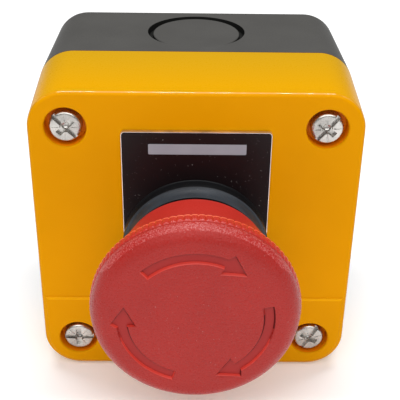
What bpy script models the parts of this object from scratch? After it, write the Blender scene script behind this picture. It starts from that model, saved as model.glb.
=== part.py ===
"""Emergency stop control station: a two-part box with a 40 mm turn-to-release mushroom head.

Driving dimensions are in millimetres and become metres as each mesh is made. X runs right,
Z runs up and the front faces -Y. The wall face of the box is the plane Y = 0, and the head's
axis is the Y axis. Heights of the head's parts are measured forward from the cover's flat face.
"""

import bmesh
import bpy
from math import cos, hypot, pi, radians, sin
from mathutils import Matrix

MM = 0.001
GAP = 0.3  # between pieces that touch

# Box
FACE = 68.0  # square face of the box, front and back
SEAM_FACE = 69.0  # both shells widen a little towards the seam
BOX_DEPTH = 50.0
BASE_DEPTH = 28.0
CORNER = 8.0
WALL = 2.5
INNER_HALF = 31.6
BOSS_AT = 26.3  # screw bosses, from the centre in X and Z
BOSS_RADIUS = 5.0
PILOT_RADIUS = 1.75
FIXING_AT = 19.0  # upright wall-fixing slots
FIXING_HALF_WIDTH = 2.5
FIXING_HALF_LENGTH = 4.0
KNOCKOUT_AT = 14.5  # forward of the wall face
KNOCKOUT_DISC = 9.9
KNOCKOUT_RADIUS = 11.2
STRIP_TOP = -15.1  # upper edge of the cover's raised lower strip
STRIP_HALF = 33.1
STRIP_RISE = 0.45
PANEL_HOLE = 11.2

# Cover screws
RECESS_RADIUS = 4.25
RECESS_DEPTH = 3.2
SCREW_HEAD_RADIUS = 3.3
SCREW_HEAD_TOP = 0.2  # below the face round each recess
SCREW_SHANK = 1.6
SCREW_CLEARANCE = 2.0
SLOT_ANGLES = {"1": -45.0, "2": 50.0, "3": 0.0, "4": 60.0}

# Legend plate
PLATE_WIDTH = 30.4
PLATE_TOP = 26.0
PLATE_BOTTOM = -14.75
PLATE_BACK = 0.15
PLATE_FRONT = 1.0
PLATE_HOLE = 11.4

# Head
HEAD_RADIUS = 20.2
HEAD_FRONT = 28.2
CROWN = 0.15  # the front face is very slightly domed
SKIRT_REAR = 8.65
SKIRT_RADIUS = 15.1
SKIRT_BORE = 14.66
COLLAR_RADIUS = 14.5
BEZEL_RADIUS = 15.35
BARREL_RADIUS = 10.95
BORE_RADIUS = 9.3
SLEEVE_RADIUS = 9.15
SLEEVE_REAR = -9.6
SHAFT_RADIUS = 2.5
BARREL_REAR = -14.6

# Contact blocks
BLOCK_CENTRE = 6.5  # each block's centre, left and right of the axis
BLOCK_WIDTH = 11.0
BLOCK_HALF = 14.5
BLOCK_FRONT = -15.0
BLOCK_REAR = -36.0
BLOCK_WALL = 1.2
BRIDGE_HALF = 9.0
BRIDGE_THICK = 0.8
STRIP_WIDTH = 3.6
TERMINAL_AT = 9.2  # terminal screws, above and below the axis
TRAVEL = 4.3  # full travel of the pressed head

ROUND = 44  # segments of a large round part
SMALL_ROUND = 20

for old in list(bpy.data.objects):
    bpy.data.objects.remove(old)


def material(name, colour, roughness, metallic=0.0):
    made = bpy.data.materials.new(name)
    made.use_nodes = True
    shader = made.node_tree.nodes["Principled BSDF"]
    shader.inputs["Base Color"].default_value = (*colour, 1.0)
    shader.inputs["Roughness"].default_value = roughness
    shader.inputs["Metallic"].default_value = metallic
    made.diffuse_color = (*colour, 1.0)
    return made


YELLOW = material("yellow_plastic", (0.80, 0.36, 0.01), 0.4)
GREY = material("dark_grey_plastic", (0.11, 0.11, 0.10), 0.6)
RED = material("red_plastic", (0.55, 0.03, 0.02), 0.35)
BLACK = material("black_plastic", (0.02, 0.02, 0.022), 0.35)
PLATE = material("black_plate", (0.01, 0.01, 0.01), 0.4)
ZINC = material("zinc_steel", (0.62, 0.62, 0.63), 0.3, 1.0)
SPRING = material("spring_steel", (0.55, 0.55, 0.57), 0.3, 1.0)
BRASS = material("brass", (0.70, 0.52, 0.22), 0.3, 1.0)
RUBBER = material("black_rubber", (0.03, 0.03, 0.03), 0.8)
BLOCK = material("contact_block_plastic", (0.55, 0.55, 0.52), 0.5)
GREEN = material("green_plunger", (0.05, 0.30, 0.10), 0.4)
CRIMSON = material("red_plunger", (0.50, 0.04, 0.03), 0.4)
WHITE = material("acetal", (0.70, 0.70, 0.68), 0.4)


def forward(height):
    """Y of a height in front of the cover's face, in millimetres."""
    return -(BOX_DEPTH + height)


def finish(name, mesh, surface, smooth=30.0):
    """An object of a bmesh given in millimetres."""
    bmesh.ops.scale(mesh, vec=(MM, MM, MM), verts=mesh.verts)
    bmesh.ops.recalc_face_normals(mesh, faces=mesh.faces)
    data = bpy.data.meshes.new(name)
    mesh.to_mesh(data)
    mesh.free()
    data.shade_smooth()
    data.set_sharp_from_angle(angle=radians(smooth))
    if surface:
        data.materials.append(surface)
    made = bpy.data.objects.new(name, data)
    bpy.context.scene.collection.objects.link(made)
    return made


def spun(mesh, profile, segments):
    """Turns a closed outline of (radius, y) about the Y axis."""
    corners = [mesh.verts.new((radius, y, 0.0)) for radius, y in profile]
    edges = []
    for first, second in zip(corners, corners[1:] + corners[:1]):
        if hypot(first.co.x, second.co.x) > 1e-6:
            edges.append(mesh.edges.new((first, second)))
    bmesh.ops.spin(mesh, geom=corners + edges, cent=(0, 0, 0), axis=(0, 1, 0), angle=2 * pi,
                   steps=segments, use_merge=True, use_duplicate=False)
    bmesh.ops.remove_doubles(mesh, verts=mesh.verts, dist=1e-5)


def turned(name, profile, surface, segments=ROUND, at=(0.0, 0.0)):
    """A round part whose axis runs along Y through (x, z); profile is (radius, height forward)."""
    mesh = bmesh.new()
    spun(mesh, [(radius, forward(height)) for radius, height in profile], segments)
    made = finish(name, mesh, surface)
    made.location = (at[0] * MM, 0.0, at[1] * MM)
    return made


def prism(name, outline, low, high, surface):
    """An outline of (x, z) carried along Y from one height to another."""
    mesh = bmesh.new()
    face = mesh.faces.new([mesh.verts.new((x, forward(low), z)) for x, z in outline])
    grown = bmesh.ops.extrude_face_region(mesh, geom=[face])
    moved = [item for item in grown["geom"] if isinstance(item, bmesh.types.BMVert)]
    bmesh.ops.translate(mesh, vec=(0.0, low - high, 0.0), verts=moved)
    return finish(name, mesh, surface)


def rounded(half_x, half_z, corner, centre=(0.0, 0.0), steps=6):
    """A rectangle with round corners, as points of (x, z)."""
    points = []
    for turn, (sign_x, sign_z) in enumerate(((1, 1), (-1, 1), (-1, -1), (1, -1))):
        for step in range(steps + 1):
            angle = (turn + step / steps) * pi / 2
            x = centre[0] + sign_x * (half_x - corner) + corner * cos(angle)
            z = centre[1] + sign_z * (half_z - corner) + corner * sin(angle)
            points.append((x, z))
    return points


def rectangle(half_x, half_z, centre):
    x, z = centre
    return [(x + half_x, z + half_z), (x - half_x, z + half_z),
            (x - half_x, z - half_z), (x + half_x, z - half_z)]


def circle(radius, segments, centre=(0.0, 0.0)):
    points = []
    for step in range(segments):
        angle = 2 * pi * step / segments
        points.append((centre[0] + radius * cos(angle), centre[1] + radius * sin(angle)))
    return points


def lofted(name, sections, surface):
    """A square shell's solid through sections of (y, half width, corner radius)."""
    mesh = bmesh.new()
    loops = []
    for y, half, corner in sections:
        loops.append([mesh.verts.new((x, y, z)) for x, z in rounded(half, half, corner)])
    for lower, upper in zip(loops, loops[1:]):
        for i in range(len(lower)):
            j = (i + 1) % len(lower)
            mesh.faces.new((lower[i], lower[j], upper[j], upper[i]))
    mesh.faces.new(loops[0])
    mesh.faces.new(loops[-1])
    return finish(name, mesh, surface)


def helper(made):
    made.hide_render = True
    made.display_type = "WIRE"
    made.hide_set(True)
    return made


def combine(target, other, operation):
    helper(other)
    modifier = target.modifiers.new(other.name, "BOOLEAN")
    modifier.operation = operation
    modifier.solver = "EXACT"
    modifier.object = other


def cut(target, *others):
    for other in others:
        combine(target, other, "DIFFERENCE")


def join(target, *others):
    for other in others:
        combine(target, other, "UNION")


def corners(distance):
    """The four corner places in reading order, numbered from 1."""
    places = ((-1, 1), (1, 1), (-1, -1), (1, -1))
    return [(str(i + 1), (x * distance, z * distance)) for i, (x, z) in enumerate(places)]


def round_rods(name, radius, low, high, places, segments=SMALL_ROUND):
    """One helper mesh of parallel rods along Y."""
    mesh = bmesh.new()
    for place in places:
        face = mesh.faces.new([mesh.verts.new((x, forward(low), z))
                               for x, z in circle(radius, segments, place)])
        grown = bmesh.ops.extrude_face_region(mesh, geom=[face])
        moved = [item for item in grown["geom"] if isinstance(item, bmesh.types.BMVert)]
        bmesh.ops.translate(mesh, vec=(0.0, low - high, 0.0), verts=moved)
    return finish(name, mesh, None)


def knockout_cutter(name, side):
    """The round groove and sunk disc in the base's top or bottom wall."""
    outer = FACE / 2 + 3.0
    disc = FACE / 2 - 0.35
    groove = FACE / 2 - 1.2
    mesh = bmesh.new()
    spun(mesh, [(0.0, disc), (KNOCKOUT_DISC, disc), (KNOCKOUT_DISC, groove),
                (KNOCKOUT_RADIUS, groove), (KNOCKOUT_RADIUS, outer), (0.0, outer)], 40)
    turn = Matrix.Rotation(radians(90.0 * side), 3, "X")
    bmesh.ops.rotate(mesh, cent=(0, 0, 0), matrix=turn, verts=mesh.verts)
    bmesh.ops.translate(mesh, vec=(0.0, -KNOCKOUT_AT, 0.0), verts=mesh.verts)
    return finish(name, mesh, None)


def make_base():
    half = FACE / 2
    seam = SEAM_FACE / 2
    base = lofted("base_box", [(0.0, half - 0.6, CORNER - 0.6), (-0.25, half - 0.2, CORNER - 0.2),
                               (-0.8, half, CORNER), (-BASE_DEPTH, seam, CORNER)], GREY)
    inner = CORNER - WALL
    cavity = lofted("base_cavity", [(-WALL, INNER_HALF - 0.3, inner),
                                    (-BASE_DEPTH - 1.0, INNER_HALF, inner)], None)
    places = [place for _, place in corners(BOSS_AT)]
    back = -BOX_DEPTH
    bosses = round_rods("base_bosses", BOSS_RADIUS, back + 1.0, back + BASE_DEPTH - 0.4, places)
    pilots = round_rods("base_pilots", PILOT_RADIUS, back + 10.0, back + BASE_DEPTH + 1.0, places, 16)
    cut(base, cavity)
    join(base, bosses)
    cut(base, pilots, knockout_cutter("knockout_top", 1), knockout_cutter("knockout_bottom", -1))
    for number, place in corners(FIXING_AT):
        slot = rounded(FIXING_HALF_WIDTH, FIXING_HALF_LENGTH, FIXING_HALF_WIDTH - 0.1, place, 4)
        cut(base, prism("base_fixing_" + number, slot, back - 1.0, back + WALL + 1.0, None))


def make_cover():
    half = FACE / 2
    seam = SEAM_FACE / 2
    rear = BASE_DEPTH + GAP
    cover = lofted("cover", [(-rear, seam, CORNER),
                             (-BOX_DEPTH + 0.8, half + 0.05, CORNER - 0.4),
                             (-BOX_DEPTH + 0.25, half - 0.15, CORNER - 0.7),
                             (-BOX_DEPTH, half - 0.7, CORNER - 1.2)], YELLOW)
    strip_middle = (STRIP_TOP - half + 0.75) / 2
    strip_half = (STRIP_TOP + half - 0.75) / 2
    strip = prism("cover_strip", strip_outline(strip_middle, strip_half), -1.0, STRIP_RISE, None)
    cavity = lofted("cover_cavity", [(-rear + 1.0, INNER_HALF, CORNER - WALL),
                                     (-BOX_DEPTH + WALL, INNER_HALF - 0.3, CORNER - WALL)], None)
    places = [place for _, place in corners(BOSS_AT)]
    columns = round_rods("cover_columns", BOSS_RADIUS + 0.2, rear + 0.4 - BOX_DEPTH, -1.0, places)
    cut(cover, cavity)
    join(cover, columns, strip)
    for number, place in corners(BOSS_AT):
        cut(cover, turned("recess_" + number, [(0.0, -RECESS_DEPTH), (RECESS_RADIUS, -RECESS_DEPTH),
                                               (RECESS_RADIUS, -0.3), (RECESS_RADIUS + 0.3, 0.05),
                                               (RECESS_RADIUS + 0.3, 1.5), (0.0, 1.5)], None, 20, place))
    cut(cover, round_rods("cover_clearances", SCREW_CLEARANCE, rear - 2.0 - BOX_DEPTH, -RECESS_DEPTH + 1.0,
                          places, 16))
    cut(cover, round_rods("cover_panel_hole", PANEL_HOLE, -WALL - 1.0, 1.5, [(0.0, 0.0)], 40))
    groove_outer = prism("cover_groove", rounded(33.65, 33.65, CORNER - 1.0), rear - 1.0 - BOX_DEPTH,
                         rear + 1.5 - BOX_DEPTH, None)
    groove_core = prism("cover_groove_core", rounded(32.35, 32.35, CORNER - 2.0), rear - 2.0 - BOX_DEPTH,
                        rear + 2.5 - BOX_DEPTH, None)
    cut(groove_outer, groove_core)
    cut(cover, groove_outer)


def strip_outline(middle, half):
    """The raised strip: square upper corners, round lower corners."""
    points = [(STRIP_HALF, middle + half), (-STRIP_HALF, middle + half)]
    low = middle - half
    corner = CORNER - 1.2
    for turn, side in ((2, -1), (3, 1)):
        for step in range(7):
            angle = (turn + step / 6) * pi / 2
            points.append((side * (STRIP_HALF - corner) + corner * cos(angle),
                           low + corner + corner * sin(angle)))
    return points


def make_seal():
    rear = BASE_DEPTH + GAP - BOX_DEPTH
    seal = prism("cover_seal", rounded(33.5, 33.5, CORNER - 1.15), rear - 0.12, rear + 1.3, RUBBER)
    core = prism("cover_seal_core", rounded(32.5, 32.5, CORNER - 2.15), rear - 2.0, rear + 3.0, None)
    cut(seal, core)


def slot_cross(name, angle, place, depth_top):
    """A full-width slot crossed by a short bar, turned about Y."""
    wide = SCREW_HEAD_RADIUS + 1.0
    short = 1.9
    bar = 0.5
    outline = [(wide, bar), (bar, bar), (bar, short), (-bar, short), (-bar, bar), (-wide, bar),
               (-wide, -bar), (-bar, -bar), (-bar, -short), (bar, -short), (bar, -bar), (wide, -bar)]
    c = cos(radians(angle))
    s = sin(radians(angle))
    turned_outline = [(place[0] + x * c - z * s, place[1] + x * s + z * c) for x, z in outline]
    return prism(name, turned_outline, depth_top - 1.1, depth_top + 1.0, None)


def make_cover_screws():
    under = -RECESS_DEPTH + GAP
    tip = BASE_DEPTH - 16.0 - BOX_DEPTH
    for number, place in corners(BOSS_AT):
        r = SCREW_HEAD_RADIUS
        face = STRIP_RISE if place[1] < 0 else 0.0
        top = face - SCREW_HEAD_TOP
        screw = turned("cover_screw_" + number,
                       [(0.0, tip), (SCREW_SHANK - 0.5, tip), (SCREW_SHANK, tip + 1.0),
                        (SCREW_SHANK, under), (r, under), (r, top - 0.5), (r - 0.25, top - 0.12),
                        (r - 0.7, top), (0.0, top)],
                       ZINC, 20, place)
        cutter = slot_cross("slot_" + number, SLOT_ANGLES[number], place, top)
        cut(screw, cutter)


def make_legend_plate():
    middle = (PLATE_TOP + PLATE_BOTTOM) / 2
    half = (PLATE_TOP - PLATE_BOTTOM) / 2
    plate = prism("legend_plate", rounded(PLATE_WIDTH / 2, half, 0.7, (0.0, middle), 3),
                  PLATE_BACK, PLATE_FRONT, PLATE)
    cut(plate, round_rods("plate_hole", PLATE_HOLE, -1.0, 3.0, [(0.0, 0.0)], 40))


def make_bezel():
    """The fixed ring, its collar inside the skirt and the barrel, in one moulding."""
    ring = [(13.4, 1.2), (BEZEL_RADIUS, 1.2), (BEZEL_RADIUS - 0.05, 3.95)]
    collar = [(14.85, 4.2), (COLLAR_RADIUS, 5.2), (COLLAR_RADIUS, 6.78), (14.25, 6.78),
              (14.25, 5.6), (13.4, 5.6), (13.4, 8.4), (12.7, 8.4), (12.7, 3.0)]
    profile = [(BARREL_RADIUS, BARREL_REAR), (BARREL_RADIUS, 1.2), (11.6, 1.2), (11.6, 2.0), (13.4, 2.0)]
    profile += ring + collar + [(BORE_RADIUS, 3.0), (BORE_RADIUS, BARREL_REAR)]
    turned("bezel", profile, BLACK, ROUND)


def make_gasket():
    turned("panel_gasket", [(11.75, 1.1), (13.25, 1.1), (13.25, 1.8), (11.75, 1.8)], RUBBER, 28)


def make_nut():
    """A castellated ring nut behind the panel."""
    outline = []
    notches = 8
    for i in range(notches):
        for part, radius in ((0.0, 14.8), (0.25, 14.8), (0.5, 14.8), (0.55, 13.4), (0.95, 13.4)):
            angle = 2 * pi * (i + part) / notches
            outline.append((radius * cos(angle), radius * sin(angle)))
    nut = prism("locking_nut", outline, -7.3, -WALL - GAP, BLACK)
    cut(nut, round_rods("nut_bore", BARREL_RADIUS + 0.15, -9.0, 0.0, [(0.0, 0.0)], 36))


def make_mounting_collar():
    collar = prism("mounting_collar", rounded(15.0, 20.0, 2.0, steps=3), BARREL_REAR, -7.7, GREY)
    cut(collar, round_rods("collar_bore", BARREL_RADIUS + 0.15, -16.0, -6.0, [(0.0, 0.0)], 36))
    cut(collar, round_rods("collar_screw_holes", 1.5, -16.0, -6.0, [(0.0, 17.2), (0.0, -17.2)], 12))
    for number, z in (("1", 17.2), ("2", -17.2)):
        rear = BARREL_REAR - GAP
        screw = turned("collar_screw_" + number,
                       [(0.0, rear - 1.8), (2.4, rear - 1.8), (2.4, rear), (1.3, rear),
                        (1.3, -8.2), (0.0, -8.2)],
                       ZINC, 16, (0.0, z))
        slot = prism("collar_slot_" + number, rectangle(3.0, 0.35, (0.0, z)),
                     rear - 2.5, rear - 1.0, None)
        cut(screw, slot)


def flare(height):
    """Outer radius of the skirt's cone, which hollows slightly between its ends."""
    top = 22.9
    part = (height - SKIRT_REAR) / (top - SKIRT_REAR)
    return SKIRT_RADIUS + (20.0 - SKIRT_RADIUS) * part - 0.9 * part * (1.0 - part)


def make_cap():
    """The red head: hollow skirt outside, hub on the axis for the cam shaft."""
    outer = [(flare(SKIRT_REAR + 14.25 * i / 5), SKIRT_REAR + 14.25 * i / 5) for i in range(6)]
    rim = [(HEAD_RADIUS, 23.1), (HEAD_RADIUS, 24.9)]
    fillet = 3.2
    arc = []
    for i in range(6):
        angle = pi / 2 * i / 5
        arc.append((HEAD_RADIUS - fillet + fillet * cos(angle), HEAD_FRONT - fillet + fillet * sin(angle)))
    dome = [(10.0, HEAD_FRONT + CROWN * 0.7), (0.0, HEAD_FRONT + CROWN)]
    inner = [(0.0, 19.5), (2.62, 19.5), (2.62, 13.6), (4.6, 13.6), (4.6, 21.0), (17.0, 21.0),
             (SKIRT_BORE + 0.3, 13.4), (SKIRT_BORE, 13.0), (SKIRT_BORE, SKIRT_REAR + 1.0),
             (SKIRT_RADIUS - 0.1, SKIRT_REAR)]
    cap = turned("mushroom_cap", outer + rim + arc + dome + inner, RED, ROUND)
    for number in range(3):
        cut(cap, arrow("arrow_" + str(number + 1), 133.0 - 120.0 * number))


def arrow(name, start):
    """A sunk arrow that runs clockwise on a 13.9 mm arc, seen from the front."""
    inner_radius = 12.86
    outer_radius = 14.95
    points = []
    for step in range(9):
        angle = radians(start - 67.5 * step / 8)
        points.append((outer_radius * cos(angle), outer_radius * sin(angle)))
    for radius, back in ((16.19, 69.1), (13.74, 85.5), (11.35, 65.9)):
        angle = radians(start - back)
        points.append((radius * cos(angle), radius * sin(angle)))
    for step in range(9):
        angle = radians(start - 67.5 * (8 - step) / 8)
        points.append((inner_radius * cos(angle), inner_radius * sin(angle)))
    return prism(name, points, HEAD_FRONT - 0.5, HEAD_FRONT + 2.0, None)


def make_cam_shaft():
    """Fixed in the cap's hub. Its oval cam lies between the latch pins."""
    r = SHAFT_RADIUS
    shaft = turned("cam_shaft", [(0.0, -10.15), (r, -10.15), (r, -9.9), (r - 0.5, -9.9), (r - 0.5, -9.15),
                                 (r, -9.15), (r, 19.2), (0.0, 19.2)], WHITE, 24)
    outline = []
    for step in range(24):
        angle = 2 * pi * step / 24
        outline.append((4.2 * cos(angle), 3.2 * sin(angle)))
    join(shaft, prism("cam_lobe", outline, -7.2, -3.8, None))


def make_clip():
    """An open spring clip in the cam shaft's groove."""
    outline = []
    for radius, turns in ((4.0, range(13)), (2.15, range(12, -1, -1))):
        for step in turns:
            angle = radians(-60.0 + 300.0 * step / 12)
            outline.append((radius * cos(angle), radius * sin(angle)))
    prism("retaining_clip", outline, -9.8, -9.25, SPRING)


def make_sleeve():
    """The keyed plunger that slides in the bezel and carries the latch pins.

    The clip sits in its rear end.
    """
    bore = SHAFT_RADIUS + 0.12
    seat = 4.6
    profile = [(seat, SLEEVE_REAR), (SLEEVE_RADIUS, SLEEVE_REAR), (SLEEVE_RADIUS, 11.8), (12.0, 11.8),
               (12.0, 13.0), (7.0, 13.0), (7.0, 0.0), (bore, 0.0), (bore, -3.0), (5.2, -3.0), (5.2, -8.0),
               (bore, -8.0), (bore, -8.9), (seat, -8.9)]
    sleeve = turned("plunger_sleeve", profile, WHITE, 36)
    mesh = bmesh.new()
    spun(mesh, [(0.0, -12.0), (1.35, -12.0), (1.35, 12.0), (0.0, 12.0)], 16)
    bmesh.ops.rotate(mesh, cent=(0, 0, 0), matrix=Matrix.Rotation(radians(90.0), 3, "Z"), verts=mesh.verts)
    bmesh.ops.translate(mesh, vec=(0.0, forward(-5.5), 0.0), verts=mesh.verts)
    cut(sleeve, finish("pin_holes", mesh, None))


def make_latch_pins():
    for number, side in (("1", 1.0), ("2", -1.0)):
        mesh = bmesh.new()
        spun(mesh, [(0.0, 4.5), (1.0, 4.5), (1.2, 4.7), (1.2, 8.8), (0.9, 9.05), (0.0, 9.05)], 16)
        bmesh.ops.rotate(mesh, cent=(0, 0, 0), matrix=Matrix.Rotation(radians(-90.0 * side), 3, "Z"),
                         verts=mesh.verts)
        bmesh.ops.translate(mesh, vec=(0.0, forward(-5.5), 0.0), verts=mesh.verts)
        finish("latch_pin_" + number, mesh, ZINC)


def coil(name, mean_radius, wire, low, high, turns, place=(0.0, 0.0), per_turn=14):
    """A helical spring whose axis runs along Y, as a bevelled curve with closed ends."""
    data = bpy.data.curves.new(name, "CURVE")
    data.dimensions = "3D"
    data.bevel_depth = wire / 2 * MM
    data.bevel_resolution = 1
    data.use_fill_caps = True
    steps = int(turns * per_turn)
    spline = data.splines.new("POLY")
    spline.points.add(steps)
    for step in range(steps + 1):
        angle = 2 * pi * turns * step / steps
        x = (place[0] + mean_radius * cos(angle)) * MM
        y = forward(low + wire / 2 + (high - low - wire) * step / steps) * MM
        z = (place[1] + mean_radius * sin(angle)) * MM
        spline.points[step].co = (x, y, z, 1.0)
    data.materials.append(SPRING)
    made = bpy.data.objects.new(name, data)
    bpy.context.scene.collection.objects.link(made)


def make_springs():
    coil("return_spring", 10.9, 1.0, 3.2, 11.6, 4.0, per_turn=16)
    coil("twist_spring", 4.9, 0.8, 0.3, 12.6, 6.0, per_turn=10)


def block_terminal(name, side, centre, pad):
    """A bent brass strip: contact pad, outer leg and screw tab, drawn in Y and Z and carried along X."""
    near = 6.0 * side
    far = 12.9 * side
    leg = 12.1 * side
    tab = -31.4
    thick = BRIDGE_THICK
    tab_end = 6.4 * side
    outline = [(pad, near), (pad, far), (tab, far), (tab, tab_end), (tab + thick, tab_end),
               (tab + thick, leg), (pad - thick, leg), (pad - thick, near)]
    half = STRIP_WIDTH / 2
    mesh = bmesh.new()
    corner_points = [mesh.verts.new((centre - half, forward(height), z)) for height, z in outline]
    face = mesh.faces.new(corner_points)
    grown = bmesh.ops.extrude_face_region(mesh, geom=[face])
    moved = [item for item in grown["geom"] if isinstance(item, bmesh.types.BMVert)]
    bmesh.ops.translate(mesh, vec=(2 * half, 0.0, 0.0), verts=moved)
    terminal = finish(name, mesh, BRASS)
    hole = [(centre, TERMINAL_AT * side)]
    cut(terminal, round_rods(name + "_hole", 1.25, tab - 2.0, tab + 3.0, hole, 12))


def make_block(prefix, centre, plunger_colour, pad):
    """One contact block; pad is the height of its fixed contacts' front face."""
    half_x = BLOCK_WIDTH / 2
    housing = prism(prefix + "_housing", rounded(half_x, BLOCK_HALF, 1.0, (centre, 0.0), 2),
                    BLOCK_REAR, BLOCK_FRONT, BLOCK)
    inner_x = half_x - BLOCK_WALL
    inner_z = BLOCK_HALF - BLOCK_WALL
    cut(housing, prism(prefix + "_cavity", rounded(inner_x, inner_z, 0.5, (centre, 0.0), 1),
                       BLOCK_REAR + BLOCK_WALL, BLOCK_FRONT - BLOCK_WALL, None))
    cut(housing, round_rods(prefix + "_guide", 1.75, BLOCK_FRONT - 3.0, BLOCK_FRONT + 2.0,
                            [(centre, 0.0)], 16))
    screws = [(centre, TERMINAL_AT), (centre, -TERMINAL_AT)]
    cut(housing, round_rods(prefix + "_access", 2.5, BLOCK_REAR - 2.0, BLOCK_REAR + 3.0,
                            screws, 16))
    for part, z in (("upper", BLOCK_HALF), ("lower", -BLOCK_HALF)):
        slot = rectangle(2.2, 2.0, (centre, z))
        cut(housing, prism(prefix + "_wire_slot_" + part, slot, BLOCK_REAR + 1.6, -32.0, None))
    bridge_top = -22.2
    turned(prefix + "_plunger",
           [(0.0, bridge_top + 0.15), (1.6, bridge_top + 0.15), (1.6, SLEEVE_REAR - 0.6),
            (1.2, SLEEVE_REAR - 0.2), (0.0, SLEEVE_REAR - 0.2)],
           plunger_colour, 16, (centre, 0.0))
    prism(prefix + "_bridge", rounded(STRIP_WIDTH / 2 - 0.3, BRIDGE_HALF, 0.4, (centre, 0.0), 2),
          bridge_top - BRIDGE_THICK, bridge_top, BRASS)
    coil(prefix + "_spring", 1.9, 0.5, -34.6, bridge_top - BRIDGE_THICK - 0.15, 5.0,
         (centre, 0.0), 9)
    for number, side in (("1", 1), ("2", -1)):
        block_terminal(prefix + "_terminal_" + number, side, centre, pad)
        screw = turned(prefix + "_terminal_screw_" + number,
                       [(0.0, -34.3), (2.2, -34.3), (2.2, -31.7), (1.1, -31.7),
                        (1.1, -29.2), (0.0, -29.2)],
                       ZINC, 16, (centre, TERMINAL_AT * side))
        slot = rectangle(3.0, 0.3, (centre, TERMINAL_AT * side))
        cut(screw, prism(prefix + "_screw_slot_" + number, slot, -35.0, -33.3, None))


make_base()
make_cover()
make_seal()
make_cover_screws()
make_legend_plate()
make_bezel()
make_gasket()
make_nut()
make_mounting_collar()
make_cap()
make_cam_shaft()
make_clip()
make_sleeve()
make_latch_pins()
make_springs()
make_block("nc", -BLOCK_CENTRE, CRIMSON, -22.2 + 0.2 + BRIDGE_THICK)
make_block("no", BLOCK_CENTRE, GREEN, -22.2 - BRIDGE_THICK - TRAVEL - GAP)
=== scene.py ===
"""Looks of the emergency stop control station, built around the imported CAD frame.

Sizes are in millimetres and become metres as each mesh is made. X runs right, Z runs up, the front faces -Y
and the wall face of the box is the plane Y = 0. Heights are measured forward from the cover's flat face.
"""

from math import cos, hypot, pi, radians, sin

import bmesh
import bpy
from mathutils import Matrix, Vector


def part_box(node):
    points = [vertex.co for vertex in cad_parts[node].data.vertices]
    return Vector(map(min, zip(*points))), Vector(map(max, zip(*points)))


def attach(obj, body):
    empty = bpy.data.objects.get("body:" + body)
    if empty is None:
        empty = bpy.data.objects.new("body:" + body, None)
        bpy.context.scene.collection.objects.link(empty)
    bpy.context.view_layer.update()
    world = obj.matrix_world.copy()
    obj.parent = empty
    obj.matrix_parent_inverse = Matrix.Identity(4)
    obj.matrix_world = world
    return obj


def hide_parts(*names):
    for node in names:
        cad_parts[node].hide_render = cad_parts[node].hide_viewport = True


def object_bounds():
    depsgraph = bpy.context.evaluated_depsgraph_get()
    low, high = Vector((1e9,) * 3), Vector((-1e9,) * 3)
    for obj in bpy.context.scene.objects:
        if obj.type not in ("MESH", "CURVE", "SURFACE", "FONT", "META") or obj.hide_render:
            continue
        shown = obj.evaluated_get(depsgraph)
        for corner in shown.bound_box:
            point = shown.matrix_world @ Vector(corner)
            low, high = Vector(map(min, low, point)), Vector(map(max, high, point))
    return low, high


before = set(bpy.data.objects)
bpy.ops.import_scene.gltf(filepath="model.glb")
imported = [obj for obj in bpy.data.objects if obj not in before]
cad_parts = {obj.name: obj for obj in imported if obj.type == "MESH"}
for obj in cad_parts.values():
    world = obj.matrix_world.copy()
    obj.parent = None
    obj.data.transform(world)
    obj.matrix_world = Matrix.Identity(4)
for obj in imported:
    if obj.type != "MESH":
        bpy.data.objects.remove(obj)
cad_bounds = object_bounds()

MM = 0.001

# Taken from the frame
cover_low, cover_high = (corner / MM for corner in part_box("cover"))
base_low, base_high = (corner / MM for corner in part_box("base_box"))
cap_low, cap_high = (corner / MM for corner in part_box("mushroom_cap"))
plate_low, plate_high = (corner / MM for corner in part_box("legend_plate"))
bezel_low, bezel_high = (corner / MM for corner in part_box("bezel"))

# Box
SEAM_HALF = cover_high.x
END_HALF = SEAM_HALF - 0.5  # both shells narrow by this much towards their far ends
BOX_DEPTH = 50.0
BASE_DEPTH = -base_low.y
COVER_REAR = -cover_high.y
CORNER = 8.0
WALL = 2.5
INNER_HALF = 31.6
BOSS_AT = 26.3
KNOCKOUT_AT = 14.5
KNOCKOUT_DISC = 9.9
KNOCKOUT_RADIUS = 11.2
STRIP_TOP = -15.1
STRIP_HALF = 33.1
STRIP_RISE = -cover_low.y - BOX_DEPTH
PANEL_HOLE = 11.2
PLATE_HOLE = 11.4

# Cover screws
RECESS_RADIUS = 4.25
RECESS_DEPTH = 3.2
SCREW_RADIUS = 3.3
SCREW_BELOW_FACE = 0.2
SCREW_CLEARANCE = 2.0
COLUMN_RADIUS = 5.2
SLOT_ANGLES = {"1": -45.0, "2": 50.0, "3": 0.0, "4": 60.0}

# Head
HEAD_RADIUS = 20.2
HEAD_FRONT = 28.2
SKIRT_REAR = -cap_high.y - BOX_DEPTH
SKIRT_RADIUS = 15.1
RIB_REAR = 22.9
RIBS = 93
RIB_DEPTH = 0.22
BODY_RADIUS = HEAD_RADIUS - RIB_DEPTH
FILLET = 3.2
COLLAR_RADIUS = 14.5
BARREL_RADIUS = 10.95
BARREL_REAR = -14.6
BARREL_BORE = 9.3
BEZEL_RADIUS = bezel_high.x

# Arrows
ARROWS = 3
ARROW_START = 133.0
ARROW_INNER = 12.86
ARROW_OUTER = 14.95

ROUND = 96


# ---------------------------------------------------------------- mesh helpers

def forward(height):
    """Y of a height in front of the cover's face."""
    return -(BOX_DEPTH + height)


def new_object(name, mesh, smooth=35.0):
    bmesh.ops.scale(mesh, vec=(MM, MM, MM), verts=mesh.verts)
    bmesh.ops.recalc_face_normals(mesh, faces=mesh.faces)
    data = bpy.data.meshes.new(name)
    mesh.to_mesh(data)
    mesh.free()
    data.shade_smooth()
    data.set_sharp_from_angle(angle=radians(smooth))
    made = bpy.data.objects.new(name, data)
    bpy.context.scene.collection.objects.link(made)
    return made


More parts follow.
